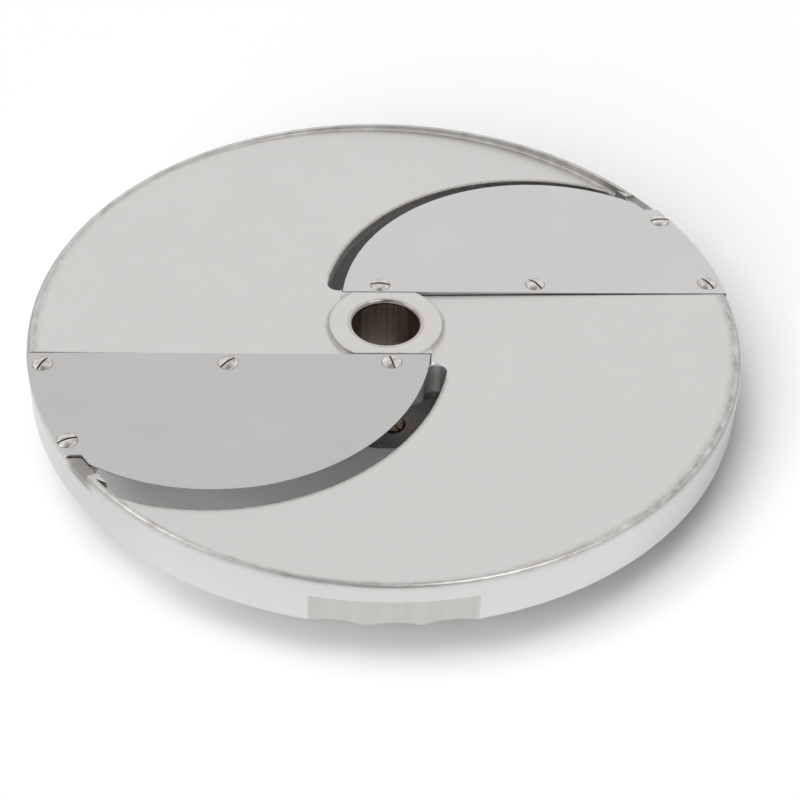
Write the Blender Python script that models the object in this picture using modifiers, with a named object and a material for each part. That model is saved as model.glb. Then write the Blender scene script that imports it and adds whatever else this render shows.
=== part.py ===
"""Slicing disc for a vegetable cutter: a cast aluminium disc that carries two curved steel blades.

The disc lies with its axis along Z, its blades on top and its hub's rest face on z = 0. The two
halves are the same shape turned by 180 degrees, apart from the slots of their screws.
"""

import math

import bmesh
import bpy
from mathutils import Matrix, Vector

# Disc casting, in metres

DISC_RADIUS = 0.1025
HUB_LENGTH = 0.030  # from the rest face to the top of the rim and blades
RIM_HEIGHT = 0.0147
RIM_WALL = 0.0033
RIM_LAND = 0.0020  # level band left between a plate and the side wall
RIM_ROUND = 0.0013
BOTTOM_CHAMFER = 0.0005
PLATE_DROP = 0.0015  # depth of a plate's plane at the axis; it is level with the rim at the entry side
PLATE_THICKNESS = 0.003
PAD_RADIUS = 0.0164
CORE_RADIUS = 0.024
CORE_DEPTH = 0.0117
BOSS_RADIUS = 0.0218
BAR_WIDTH = 0.010
RIB_THICKNESS = 0.004
RIB_AZIMUTH = 138.0  # degrees
LUG_RADIUS = 0.005

# Finger grips in the side wall

GRIP_AZIMUTH = -90.8  # degrees
GRIP_SCOOPS = 3
SCOOP_WIDTH = 0.0146
SCOOP_DEPTH = 0.0013
SCOOP_TOP = 0.0056

# Blades and the slots before their edges

BLADE_THICKNESS = 0.0015
BLADE_OFFSET = 0.0140  # long edge to the axis
BLADE_LEAN = 0.83  # degrees, long edge to the row of screws
BLADE_REACH = 0.0124  # how far the blade runs past the axis
TIP_AZIMUTH = 35.5  # degrees, where the cutting edge meets the rim
EAR_AZIMUTH = 33.1  # degrees, where the blade's ear ends
ARC_RISE = 0.0074  # centre of the cutting edge's arc above the disc's centre line
BEVEL_WIDTH = 0.004
EDGE_LAND = 0.0003
SLOT_GAP = 0.0046
SLOT_WIDTH = 0.0054
SLOT_END = 0.0069  # from the long edge to the centre of the slot's round end
PLATE_END_AZIMUTH = 38.5  # degrees, where the wide part of the rim ends

# Drive bush and its set screw

BORE_RADIUS = 0.0096
BUSH_WALL = 0.0013
BUSH_RECESS = 0.0003  # lower end of the bush above the rest face
MOUTH_BEVEL = 0.0011
KEY_WIDTH = 0.0064
KEY_DEPTH = 0.008
SET_SCREW_RADIUS = 0.003
SET_SCREW_HEIGHT = 0.0092
SET_SCREW_AZIMUTH = -88.0  # degrees

# Blade screws

HEAD_RADIUS = 0.0028
HEAD_HEIGHT = 0.0013
HEAD_DOME = 0.0003
SHANK_RADIUS = 0.0015
SCREW_LENGTH = 0.008
SLOT_DEPTH = 0.0007
DRIVER_SLOT = 0.0007
SCREW_MARGIN = 0.0033  # row of screws to the long edge
INNER_SCREW_X = -0.0010
MIDDLE_SCREW_X = 0.0450
OUTER_SCREW_INSET = 0.0043
EAR_SCREW_AZIMUTH = 29.1  # degrees
DRIVER_ANGLES = ((-4.0, -50.0, -58.0, 2.0), (105.0, 45.0, 62.0, 24.0))  # degrees, as the screws were left

SEAT_GAP = 0.0003  # between pieces that rest on or in each other
SCREW_GAP = 0.0002
MARGIN = 0.002  # how far a cutter runs past what it cuts
CLEAR = 0.0002  # between faces of different cutters, so that none coincide
PHASE = 0.4  # part of a step by which a cylinder's corners are turned, for the same reason
ROUND_STEPS = 144
SMALL_STEPS = 32

RIM_INSIDE = DISC_RADIUS - RIM_WALL
RIM_FLOOR = HUB_LENGTH - RIM_HEIGHT
CORE_FLOOR = HUB_LENGTH - CORE_DEPTH
SEAT_LEVEL = HUB_LENGTH - BLADE_THICKNESS - SEAT_GAP
BUSH_RADIUS = BORE_RADIUS + BUSH_WALL
BUSH_HOLE = BUSH_RADIUS + SCREW_GAP
SCREW_ROW_Y = BLADE_OFFSET + SCREW_MARGIN
BAR_SIDE = SCREW_ROW_Y + BAR_WIDTH / 2
FAR = 2 * DISC_RADIUS
HALF_TURNS = (0.0, math.pi)


def polar(radius, degrees):
    return Vector((radius * math.cos(math.radians(degrees)), radius * math.sin(math.radians(degrees))))


def arc_centre(start, end):
    """Centre, on the line y = ARC_RISE, of the arc through two points."""
    middle = (start + end) / 2
    chord = end - start
    return Vector((middle.x + (middle.y - ARC_RISE) * chord.y / chord.x, ARC_RISE))


def arc(centre, radius, start, end, steps):
    """Points on an arc from one angle to another, both in radians and both included."""
    turns = [start + (end - start) * i / steps for i in range(steps + 1)]
    return [centre + radius * Vector((math.cos(t), math.sin(t))) for t in turns]


def angle_of(vector):
    return math.atan2(vector.y, vector.x)


LEAN = math.radians(BLADE_LEAN)
EDGE_ALONG = Vector((math.cos(LEAN), -math.sin(LEAN)))
EDGE_ACROSS = Vector((math.sin(LEAN), math.cos(LEAN)))
BLADE_HEEL = BLADE_OFFSET * EDGE_ACROSS - BLADE_REACH * EDGE_ALONG
BLADE_TIP = polar(RIM_INSIDE - SEAT_GAP, TIP_AZIMUTH)
ARC_CENTRE = arc_centre(BLADE_HEEL, BLADE_TIP)
BLADE_ARC = (BLADE_HEEL - ARC_CENTRE).length
SLOT_ARC = BLADE_ARC + SLOT_GAP
SLOT_MIDDLE = SLOT_ARC - SLOT_WIDTH / 2
EAR_INNER = polar(RIM_INSIDE - SEAT_GAP, EAR_AZIMUTH)


def on_long_edge(radius, gap=0.0):
    """Point where the blade's long edge, moved outwards by a gap, crosses a circle round the axis."""
    offset = BLADE_OFFSET - gap
    return offset * EDGE_ACROSS + math.sqrt(radius**2 - offset**2) * EDGE_ALONG


def plate_level(point):
    """Height of a plate's top plane, which falls from the entry side of the rim towards +X."""
    return HUB_LENGTH - PLATE_DROP * (1 + point.x / DISC_RADIUS)


def clear_scene():
    for obj in list(bpy.data.objects):
        bpy.data.objects.remove(obj, do_unlink=True)


def new_collection(name, hidden=False):
    collection = bpy.data.collections.new(name)
    collection.hide_render = hidden
    bpy.context.scene.collection.children.link(collection)
    return collection


clear_scene()
PARTS = new_collection("slicing_disc")
CUTTERS = new_collection("slicing_disc_cutters", hidden=True)


def metal(name, colour, roughness):
    material = bpy.data.materials.new(name)
    material.use_nodes = True
    shader = material.node_tree.nodes["Principled BSDF"]
    shader.inputs["Base Color"].default_value = (*colour, 1.0)
    shader.inputs["Metallic"].default_value = 1.0
    shader.inputs["Roughness"].default_value = roughness
    return material


def finish_mesh(name, mesh, collection):
    """Links the mesh as an object, and hides it if it is a cutter."""
    obj = bpy.data.objects.new(name, mesh)
    collection.objects.link(obj)
    if collection is CUTTERS:
        obj.hide_render = True
        obj.display_type = "WIRE"
    return obj


def from_bmesh(name, shape, collection=CUTTERS):
    bmesh.ops.recalc_face_normals(shape, faces=shape.faces)
    mesh = bpy.data.meshes.new(name)
    shape.to_mesh(mesh)
    shape.free()
    return finish_mesh(name, mesh, collection)


def prism(name, outline, floor, ceiling, turn=0.0, collection=CUTTERS):
    """Extrudes an outline between two levels, each a height or a function of the outline's points."""
    shape = bmesh.new()
    base = shape.faces.new([shape.verts.new((p.x, p.y, 0.0)) for p in outline])
    raised = bmesh.ops.extrude_face_region(shape, geom=[base])["geom"]
    top = {v for v in raised if isinstance(v, bmesh.types.BMVert)}
    for vert in shape.verts:
        level = ceiling if vert in top else floor
        vert.co.z = level(vert.co) if callable(level) else level
    bmesh.ops.rotate(shape, verts=shape.verts, matrix=Matrix.Rotation(turn, 3, "Z"))
    return from_bmesh(name, shape, collection)


def cylinder(name, radius, floor, ceiling, centre=(0.0, 0.0), steps=SMALL_STEPS, collection=CUTTERS):
    shape = bmesh.new()
    bmesh.ops.create_cone(
        shape, cap_ends=True, segments=steps, radius1=radius, radius2=radius, depth=ceiling - floor
    )
    phase = Matrix.Rotation(PHASE * 2 * math.pi / steps, 3, "Z")
    bmesh.ops.rotate(shape, verts=shape.verts, matrix=phase)
    bmesh.ops.translate(shape, verts=shape.verts, vec=(centre[0], centre[1], (ceiling + floor) / 2))
    return from_bmesh(name, shape, collection)


def turned(name, profile, steps, collection=CUTTERS):
    """Spins a closed profile of (radius, height) points round Z."""
    mesh = bpy.data.meshes.new(name)
    count = len(profile)
    closed = profile[0][0] > 0
    edges = [(i, (i + 1) % count) for i in range(count if closed else count - 1)]
    mesh.from_pydata([(r, 0.0, z) for r, z in profile], edges, [])
    obj = finish_mesh(name, mesh, collection)
    screw = obj.modifiers.new("turn", "SCREW")
    screw.steps = steps
    screw.render_steps = steps
    screw.use_merge_vertices = True
    screw.merge_threshold = 1e-6
    return obj


def boolean(target, operation, *tools):
    for tool in tools:
        modifier = target.modifiers.new(tool.name, "BOOLEAN")
        modifier.operation = operation
        modifier.object = tool
    return target


def turn_about_axis(obj, turn):
    """Turns an object, and the cutters that shape it, round the disc's axis."""
    shaped_by = [modifier.object for modifier in obj.modifiers if modifier.type == "BOOLEAN"]
    for piece in [obj] + shaped_by:
        piece.matrix_world = Matrix.Rotation(turn, 4, "Z") @ piece.matrix_world
    return obj


def rounded(start, end, centre, steps=4):
    """Quarter round in a profile, between two points that see the centre at right angles."""
    first = angle_of(start - centre)
    sweep = (angle_of(end - centre) - first + math.pi) % (2 * math.pi) - math.pi
    points = arc(centre, (start - centre).length, first, first + sweep, steps)
    return [(p.x, p.y) for p in points]


def half_region(left_offset, right_offset, lean=0.0):
    """Z-shaped outline of one half: above one line left of the axis, and above another right of it."""
    corners = [
        (-FAR, left_offset),
        (0.0, left_offset),
        (0.0, right_offset),
        (FAR, right_offset),
        (FAR, FAR),
        (-FAR, FAR),
    ]
    turn = Matrix.Rotation(-lean, 2)
    return [turn @ Vector(corner) for corner in corners]


def blade_outline(bevel=0.0):
    """Blade outline, anticlockwise from its heel. A bevel draws the cutting edge in towards its centre."""
    toe = on_long_edge(DISC_RADIUS)
    ear_outer_x = math.sqrt(DISC_RADIUS**2 - EAR_INNER.y**2)
    ear_outer = Vector((ear_outer_x, EAR_INNER.y))
    rim_arc = arc(Vector((0, 0)), DISC_RADIUS, angle_of(toe), angle_of(ear_outer), 20)
    seat_arc = arc(Vector((0, 0)), RIM_INSIDE - SEAT_GAP, angle_of(EAR_INNER), angle_of(BLADE_TIP), 3)
    first = angle_of(BLADE_TIP - ARC_CENTRE)
    last = angle_of(BLADE_HEEL - ARC_CENTRE)
    edge = arc(ARC_CENTRE, BLADE_ARC, first, last, 56)
    if bevel:
        drawn_in = arc(ARC_CENTRE, BLADE_ARC - bevel, first, last, 56)
        heel = BLADE_HEEL + bevel * EDGE_ALONG
        edge = [BLADE_TIP] + drawn_in[1:-1] + [heel]
    return rim_arc + seat_arc[:-1] + edge


def blade(name, turn):
    """Flat blade with its cutting edge ground from below."""
    rings = [
        (blade_outline(), HUB_LENGTH),
        (blade_outline(), HUB_LENGTH - EDGE_LAND),
        (blade_outline(BEVEL_WIDTH), HUB_LENGTH - BLADE_THICKNESS),
    ]
    shape = bmesh.new()
    loops = [[shape.verts.new((p.x, p.y, level)) for p in outline] for outline, level in rings]
    shape.faces.new(loops[0])
    shape.faces.new(loops[-1])
    count = len(loops[0])
    for upper, lower in zip(loops, loops[1:]):
        for i in range(count):
            j = (i + 1) % count
            shape.faces.new([upper[i], upper[j], lower[j], lower[i]])
    bmesh.ops.triangulate(shape, faces=[f for f in shape.faces if len(f.verts) == 4])
    bmesh.ops.rotate(shape, verts=shape.verts, matrix=Matrix.Rotation(turn, 3, "Z"))
    return from_bmesh(name, shape, PARTS)


def screw_places():
    """Centres of one blade's screws: three in a row along the long edge, and one in the ear."""
    outer_x = math.sqrt((DISC_RADIUS - OUTER_SCREW_INSET) ** 2 - SCREW_ROW_Y**2)
    row = [Vector((x, SCREW_ROW_Y)) for x in (INNER_SCREW_X, MIDDLE_SCREW_X, outer_x)]
    return row + [polar(DISC_RADIUS - HEAD_RADIUS, EAR_SCREW_AZIMUTH)]


def screw_profile(gap, top, length):
    """Countersunk screw as a profile from its axis at the top to its axis at the lower end."""
    cone_end = HUB_LENGTH - HEAD_HEIGHT
    return [
        (0.0, top),
        (HEAD_RADIUS + gap, HUB_LENGTH if top > HUB_LENGTH else top),
        (HEAD_RADIUS + gap, HUB_LENGTH - gap),
        (SHANK_RADIUS + gap, cone_end - gap),
        (SHANK_RADIUS + gap, HUB_LENGTH - length),
        (0.0, HUB_LENGTH - length),
    ]


def blade_screw(name, place, driver_angle):
    profile = [(0.0, HUB_LENGTH + HEAD_DOME), (HEAD_RADIUS * 0.6, HUB_LENGTH + HEAD_DOME * 0.75)]
    profile += screw_profile(0.0, HUB_LENGTH, SCREW_LENGTH)[1:]
    screw = turned(name, profile, SMALL_STEPS, PARTS)
    screw.location = (place.x, place.y, 0.0)
    half_length = HEAD_RADIUS + MARGIN
    half_width = DRIVER_SLOT / 2
    outline = [
        Vector((sx * half_length, sy * half_width)) for sx, sy in ((-1, -1), (1, -1), (1, 1), (-1, 1))
    ]
    floor = HUB_LENGTH + HEAD_DOME - SLOT_DEPTH
    slot = prism(name + "_slot", outline, floor, HUB_LENGTH + MARGIN, math.radians(driver_angle))
    slot.location = screw.location
    return boolean(screw, "DIFFERENCE", slot)


def scoops(azimuth):
    """Cutters of one finger grip: shallow round scoops side by side in the side wall."""
    half = SCOOP_WIDTH / 2
    wall_sag = DISC_RADIUS - math.sqrt(DISC_RADIUS**2 - half**2)
    sag = SCOOP_DEPTH - wall_sag
    radius = (half**2 + sag**2) / (2 * sag)
    pitch = 2 * math.degrees(math.asin(half / DISC_RADIUS))
    found = []
    for i in range(GRIP_SCOOPS):
        centre = polar(DISC_RADIUS - SCOOP_DEPTH + radius, azimuth + pitch * (i - (GRIP_SCOOPS - 1) / 2))
        name = f"scoop_{azimuth:.0f}_{i}"
        found.append(cylinder(name, radius, RIM_FLOOR - MARGIN, HUB_LENGTH - SCOOP_TOP, centre, ROUND_STEPS))
    return found


def casting_blank():
    """Turned outside of the casting, still solid between the rim and the hub."""
    outer = DISC_RADIUS
    top_round = rounded(
        Vector((outer - RIM_ROUND, HUB_LENGTH)),
        Vector((outer, HUB_LENGTH - RIM_ROUND)),
        Vector((outer - RIM_ROUND, HUB_LENGTH - RIM_ROUND)),
    )
    below = [
        (outer, RIM_FLOOR + BOTTOM_CHAMFER),
        (outer - BOTTOM_CHAMFER, RIM_FLOOR),
        (RIM_INSIDE + BOTTOM_CHAMFER, RIM_FLOOR),
        (RIM_INSIDE + CLEAR, RIM_FLOOR + BOTTOM_CHAMFER),
        (RIM_INSIDE + CLEAR, CORE_FLOOR),
        (BOSS_RADIUS, CORE_FLOOR),
        (BOSS_RADIUS, BOTTOM_CHAMFER),
        (BOSS_RADIUS - BOTTOM_CHAMFER, 0.0),
        (BUSH_HOLE, 0.0),
        (BUSH_HOLE, HUB_LENGTH),
    ]
    return turned("disc_body", top_round + below, ROUND_STEPS, PARTS)


def top_pocket(number, turn):
    """Cutter that lowers one plate below the rim, the hub's pad and the blade."""
    low, high = -BLADE_OFFSET, BLADE_OFFSET
    cutter = prism(
        f"plate_{number}_top", half_region(low, high, LEAN), plate_level, HUB_LENGTH + MARGIN
    )
    boolean(
        cutter,
        "INTERSECT",
        cylinder(
            f"plate_{number}_edge",
            DISC_RADIUS - RIM_LAND,
            HUB_LENGTH - 2 * RIM_HEIGHT,
            HUB_LENGTH + 2 * MARGIN,
            steps=ROUND_STEPS,
        ),
    )
    heel = BLADE_HEEL - SEAT_GAP * EDGE_ALONG
    end = polar(DISC_RADIUS - RIM_LAND + SEAT_GAP, PLATE_END_AZIMUTH)
    centre = arc_centre(heel, end)
    radius = (heel - centre).length
    low_z, high_z = HUB_LENGTH - 2 * RIM_HEIGHT, HUB_LENGTH + 2 * MARGIN
    pad = cylinder(f"pad_{number}", PAD_RADIUS, low_z, high_z, steps=ROUND_STEPS)
    behind = cylinder(f"blade_{number}_area", radius, low_z, high_z, centre, ROUND_STEPS)
    boolean(cutter, "DIFFERENCE", pad, behind)
    return turn_about_axis(cutter, turn)


def underside_pocket(number, turn):
    """Cutter that hollows one half from below, up to the plate's lower side."""

    def ceiling(point):
        return plate_level(point) - PLATE_THICKNESS

    low, high = RIM_FLOOR - MARGIN, HUB_LENGTH + MARGIN
    cutter = prism(
        f"plate_{number}_under", half_region(BAR_WIDTH - BAR_SIDE, BAR_SIDE), low, ceiling
    )
    inside = RIM_INSIDE - 2 * CLEAR
    bound = cylinder(f"rim_inside_{number}", inside, low - MARGIN, high, steps=ROUND_STEPS)
    core = cylinder(f"core_{number}", CORE_RADIUS, low - MARGIN, high, steps=ROUND_STEPS)
    boolean(cutter, "INTERSECT", bound)
    boolean(cutter, "DIFFERENCE", core)
    return turn_about_axis(cutter, turn)


def window(number, turn):
    """Cutter of the opening under one blade, through which the slices fall."""
    low, high = RIM_FLOOR - MARGIN, HUB_LENGTH + MARGIN
    cutter = prism(f"window_{number}", half_region(0.0, BAR_SIDE - CLEAR), low, high)
    inside = RIM_INSIDE - CLEAR
    bound = cylinder(f"window_{number}_rim", inside, low - MARGIN, high + MARGIN, steps=ROUND_STEPS)
    area = cylinder(
        f"window_{number}_arc", SLOT_MIDDLE, low - MARGIN, high + MARGIN, ARC_CENTRE, ROUND_STEPS
    )
    core = cylinder(
        f"window_{number}_core", CORE_RADIUS - CLEAR, low - MARGIN, high + MARGIN, steps=ROUND_STEPS
    )
    boolean(cutter, "INTERSECT", bound, area)
    boolean(cutter, "DIFFERENCE", core)
    return turn_about_axis(cutter, turn)


def slot(number, turn):
    """Cutter of the round-ended slot between one blade's edge and its plate."""
    rise = BLADE_OFFSET + SLOT_END - ARC_RISE
    start = math.pi - math.asin(rise / SLOT_MIDDLE)
    end = angle_of(polar(DISC_RADIUS, TIP_AZIMUTH) - ARC_CENTRE) - math.radians(20)
    outer = arc(ARC_CENTRE, SLOT_MIDDLE + SLOT_WIDTH / 2, end, start, 60)
    cap_centre = ARC_CENTRE + SLOT_MIDDLE * Vector((math.cos(start), math.sin(start)))
    cap = arc(cap_centre, SLOT_WIDTH / 2, start, start + math.pi, 12)
    inner = arc(ARC_CENTRE, SLOT_MIDDLE - SLOT_WIDTH / 2, start, end, 60)
    low, high = CORE_FLOOR - MARGIN, HUB_LENGTH + MARGIN
    cutter = prism(f"slot_{number}", outer + cap[1:-1] + inner, low, high)
    bound = cylinder(
        f"slot_{number}_rim", RIM_INSIDE, low - MARGIN, high + MARGIN, steps=ROUND_STEPS
    )
    boolean(cutter, "INTERSECT", bound)
    return turn_about_axis(cutter, turn)


def blade_seat(number, turn):
    """Cutter that lets one blade into the bar, the hub and the rim."""
    far = on_long_edge(FAR, SEAT_GAP)
    heel = BLADE_HEEL - SEAT_GAP * (EDGE_ALONG + EDGE_ACROSS)
    ear_level = EAR_INNER.y + SEAT_GAP
    inside = EAR_INNER.x - RIM_WALL
    first = angle_of(BLADE_TIP - ARC_CENTRE) + math.radians(8)
    last = angle_of(heel - ARC_CENTRE)
    edge = arc(ARC_CENTRE, BLADE_ARC + SEAT_GAP, first, last, 40)
    outline = [far, Vector((far.x, ear_level)), Vector((inside, ear_level))] + edge[:-1] + [heel]
    return turn_about_axis(
        prism(f"blade_{number}_seat", outline, SEAT_LEVEL, HUB_LENGTH + MARGIN), turn
    )


def lug(number, turn):
    """Round lug inside the rim under the ear's screw."""
    centre = polar(RIM_INSIDE + RIM_WALL - SCREW_GAP - LUG_RADIUS, EAR_SCREW_AZIMUTH)
    post = cylinder(f"lug_{number}", LUG_RADIUS, CORE_FLOOR, SEAT_LEVEL + CLEAR, centre)
    return turn_about_axis(post, turn)


def rib(number, turn):
    """Radial rib under one plate, from the hub to the rim."""
    start = (BOSS_RADIUS + CORE_RADIUS) / 2
    end = RIM_INSIDE + RIM_WALL / 2
    outline = [
        Vector((x, y * RIB_THICKNESS / 2)) for x, y in ((start, -1), (end, -1), (end, 1), (start, 1))
    ]
    ceiling = HUB_LENGTH - 2 * PLATE_DROP - PLATE_THICKNESS / 2
    bar = prism(f"rib_{number}", outline, CORE_FLOOR + CLEAR, ceiling, math.radians(RIB_AZIMUTH))
    return turn_about_axis(bar, turn)


def screw_hole(number, place, turn):
    low = HUB_LENGTH - SCREW_LENGTH - MARGIN / 2
    hole = cylinder(f"hole_{number}", SHANK_RADIUS + SCREW_GAP, low, HUB_LENGTH + MARGIN, place)
    return turn_about_axis(hole, turn)


def key_slot():
    """Cutter of the drive slot across the lower end of the hub."""
    half = KEY_WIDTH / 2
    outline = [Vector((x * BOSS_RADIUS * 2, y * half)) for x, y in ((-1, -1), (1, -1), (1, 1), (-1, 1))]
    return prism("key_slot", outline, -MARGIN, KEY_DEPTH)


def radial_cylinder(name, radius, start, end, collection=CUTTERS):
    """Cylinder along the set screw's axis, between two distances from the disc's axis."""
    rod = cylinder(name, radius, start, end, collection=collection)
    tip = Matrix.Rotation(math.radians(SET_SCREW_AZIMUTH), 4, "Z") @ Matrix.Rotation(math.pi / 2, 4, "Y")
    rod.matrix_world = Matrix.Translation((0.0, 0.0, SET_SCREW_HEIGHT)) @ tip
    return rod


def disc_body():
    body = casting_blank()
    places = screw_places()
    for number, turn in enumerate(HALF_TURNS, 1):
        boolean(body, "DIFFERENCE", underside_pocket(number, turn))
        boolean(body, "UNION", rib(number, turn))
        boolean(body, "DIFFERENCE", window(number, turn))
        boolean(body, "UNION", lug(number, turn))
        boolean(body, "DIFFERENCE", top_pocket(number, turn), slot(number, turn), blade_seat(number, turn))
        for i, place in enumerate(places, 1):
            boolean(body, "DIFFERENCE", screw_hole(f"{number}_{i}", place, turn))
    for azimuth in (GRIP_AZIMUTH, GRIP_AZIMUTH + 180):
        boolean(body, "DIFFERENCE", *scoops(azimuth))
    set_hole = radial_cylinder("set_screw_hole", SET_SCREW_RADIUS + SCREW_GAP, BORE_RADIUS, BOSS_RADIUS + MARGIN)
    boolean(body, "DIFFERENCE", key_slot(), set_hole)
    return body


def drive_bush():
    profile = [
        (BORE_RADIUS + MOUTH_BEVEL, HUB_LENGTH),
        (BUSH_RADIUS, HUB_LENGTH),
        (BUSH_RADIUS, BUSH_RECESS),
        (BORE_RADIUS, BUSH_RECESS),
        (BORE_RADIUS, HUB_LENGTH - MOUTH_BEVEL),
    ]
    bush = turned("drive_bush", profile, ROUND_STEPS // 2, PARTS)
    return boolean(bush, "DIFFERENCE", bpy.data.objects["key_slot"])


def bush_set_screw():
    start = BUSH_RADIUS + SEAT_GAP
    screw = radial_cylinder("bush_set_screw", SET_SCREW_RADIUS, start, BOSS_RADIUS - BOTTOM_CHAMFER, PARTS)
    half = SET_SCREW_RADIUS + MARGIN
    width = DRIVER_SLOT / 2
    outline = [Vector((x * half, y * width)) for x, y in ((-1, -1), (1, -1), (1, 1), (-1, 1))]
    depth = BOSS_RADIUS - BOTTOM_CHAMFER - SLOT_DEPTH
    driver = prism("set_screw_slot", outline, depth, BOSS_RADIUS + MARGIN, math.radians(35))
    driver.matrix_world = screw.matrix_world
    return boolean(screw, "DIFFERENCE", driver)


def build():
    cast = metal("cast_aluminium", (0.62, 0.62, 0.60), 0.42)
    steel = metal("blade_steel", (0.56, 0.56, 0.55), 0.28)
    nickel = metal("screw_nickel", (0.60, 0.55, 0.48), 0.24)
    bright = metal("bush_steel", (0.50, 0.46, 0.42), 0.22)
    brass = metal("set_screw_brass", (0.45, 0.33, 0.18), 0.35)
    disc_body().data.materials.append(cast)
    drive_bush().data.materials.append(bright)
    bush_set_screw().data.materials.append(brass)
    top = HUB_LENGTH + HEAD_DOME + MARGIN
    for number, turn in enumerate(HALF_TURNS, 1):
        plate = blade(f"blade_{number}", turn)
        plate.data.materials.append(steel)
        for i, place in enumerate(screw_places(), 1):
            turned_place = Matrix.Rotation(turn, 2) @ place
            sink = turned(f"sink_{number}_{i}", screw_profile(SCREW_GAP, top, SCREW_LENGTH), SMALL_STEPS)
            sink.location = (turned_place.x, turned_place.y, 0.0)
            boolean(plate, "DIFFERENCE", sink)
            angle = DRIVER_ANGLES[number - 1][i - 1]
            screw = blade_screw(f"blade_{number}_screw_{i}", turned_place, angle)
            screw.data.materials.append(nickel)
    for obj in PARTS.objects:
        obj.data.shade_smooth()
        obj.data.set_sharp_from_angle(angle=math.radians(35))


build()
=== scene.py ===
"""Slicing disc of a vegetable cutter, finished as the real one is: a matte cast disc with a turned rim,
two ground steel blades, their raised screws and a steel drive bush."""

import math

import bmesh
import bpy
from mathutils import Matrix, Vector


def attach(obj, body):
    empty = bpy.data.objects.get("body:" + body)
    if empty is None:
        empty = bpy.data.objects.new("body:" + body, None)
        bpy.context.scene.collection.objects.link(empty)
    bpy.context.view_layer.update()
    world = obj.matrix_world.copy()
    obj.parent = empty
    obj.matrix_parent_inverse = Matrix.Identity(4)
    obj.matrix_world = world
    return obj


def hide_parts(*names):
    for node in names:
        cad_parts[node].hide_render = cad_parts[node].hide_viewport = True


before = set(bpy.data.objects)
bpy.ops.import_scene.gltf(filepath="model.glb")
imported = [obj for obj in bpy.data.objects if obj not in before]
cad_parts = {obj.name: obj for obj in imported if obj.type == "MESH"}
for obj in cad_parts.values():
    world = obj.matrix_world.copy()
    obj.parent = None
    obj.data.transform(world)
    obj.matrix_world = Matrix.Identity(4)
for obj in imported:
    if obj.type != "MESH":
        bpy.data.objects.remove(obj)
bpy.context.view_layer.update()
HALF_TURNS = (0.0, math.pi)


# The casting
# One aluminium casting, turned on its rim, hub and bore. The plates fall away towards each blade,
# and the rim is lowered a little beside each blade's ear. The halves are alike, half a turn apart.

TOP = 0.030
DISC_RADIUS = 0.1025
RIM_HEIGHT = 0.0147
RIM_WALL = 0.0033
RIM_LAND = 0.0020
RIM_ROUND = 0.0016
RIM_INSIDE = DISC_RADIUS - RIM_WALL
RIM_FLOOR = TOP - RIM_HEIGHT
PLATE_DROP = 0.0015
PLATE_THICKNESS = 0.003
PAD_RADIUS = 0.0164
CORE_RADIUS = 0.024
CORE_FLOOR = TOP - 0.0117
BOSS_RADIUS = 0.0218
BUSH_HOLE = 0.0111
NOTCH_DEPTH = 0.0009
BLADE_THICKNESS = 0.0015
BLADE_OFFSET = 0.0140
BLADE_REACH = 0.0124
BLADE_LEAN = math.radians(0.83)
TIP_AZIMUTH = 35.5
EAR_AZIMUTH = 33.1
PLATE_END_AZIMUTH = 38.5
ARC_RISE = 0.0074
SLOT_GAP = 0.0051
SLOT_WIDTH = 0.0059
SLOT_END = 0.0058
SEAT_GAP = 0.0003
BAR_LOW, BAR_HIGH = 0.0123, 0.0223
SCREW_ROW = 0.0173
EAR_SCREW_AZIMUTH = 29.1
SCREW_HOLE = 0.0017
HOLE_DEPTH = 0.009
LUG_RADIUS = 0.005
RIB_WIDTH = 0.004
RIB_AZIMUTH = 138
PAST = 0.002
BEYOND = 0.2
FIRST_STEP = 0.013


def polar(radius, degrees):
    return Vector((radius * math.cos(math.radians(degrees)), radius * math.sin(math.radians(degrees))))


def bearing(vector):
    return math.atan2(vector.y, vector.x)


def arc(centre, radius, start, end, steps):
    """Points from one bearing to another, both in radians and both included."""
    turns = [start + (end - start) * i / steps for i in range(steps + 1)]
    return [centre + radius * Vector((math.cos(t), math.sin(t))) for t in turns]


def meeting(centre_a, radius_a, centre_b, radius_b, near):
    """Where two circles cross, at the crossing nearest to a point."""
    across = centre_b - centre_a
    along = (across.length**2 + radius_a**2 - radius_b**2) / (2 * across.length)
    out = math.sqrt(radius_a**2 - along**2)
    foot = centre_a + across.normalized() * along
    side = Vector((-across.y, across.x)).normalized() * out
    return min((foot + side, foot - side), key=lambda p: (p - near).length)


def arc_centre(start, end):
    """Centre, on the line y = ARC_RISE, of the arc through two points."""
    middle, chord = (start + end) / 2, end - start
    return Vector((middle.x + (middle.y - ARC_RISE) * chord.y / chord.x, ARC_RISE))


AXIS = Vector((0.0, 0.0))
ALONG = Vector((math.cos(BLADE_LEAN), -math.sin(BLADE_LEAN)))
ACROSS = Vector((math.sin(BLADE_LEAN), math.cos(BLADE_LEAN)))
HEEL = BLADE_OFFSET * ACROSS - BLADE_REACH * ALONG
TIP = polar(RIM_INSIDE - SEAT_GAP, TIP_AZIMUTH)
EAR = polar(RIM_INSIDE - SEAT_GAP, EAR_AZIMUTH)
ARC_CENTRE = arc_centre(HEEL, TIP)
BLADE_ARC = (HEEL - ARC_CENTRE).length
SLOT_ARC = BLADE_ARC + SLOT_GAP
SLOT_MIDDLE = SLOT_ARC - SLOT_WIDTH / 2


def new_piece(name, shape, turn=0.0):
    """Object from a bmesh, turned about the disc's axis in its mesh."""
    bmesh.ops.rotate(shape, verts=shape.verts, matrix=Matrix.Rotation(turn, 3, "Z"))
    bmesh.ops.recalc_face_normals(shape, faces=shape.faces)
    mesh = bpy.data.meshes.new(name)
    shape.to_mesh(mesh)
    shape.free()
    piece = bpy.data.objects.new(name, mesh)
    bpy.context.scene.collection.objects.link(piece)
    return piece


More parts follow.
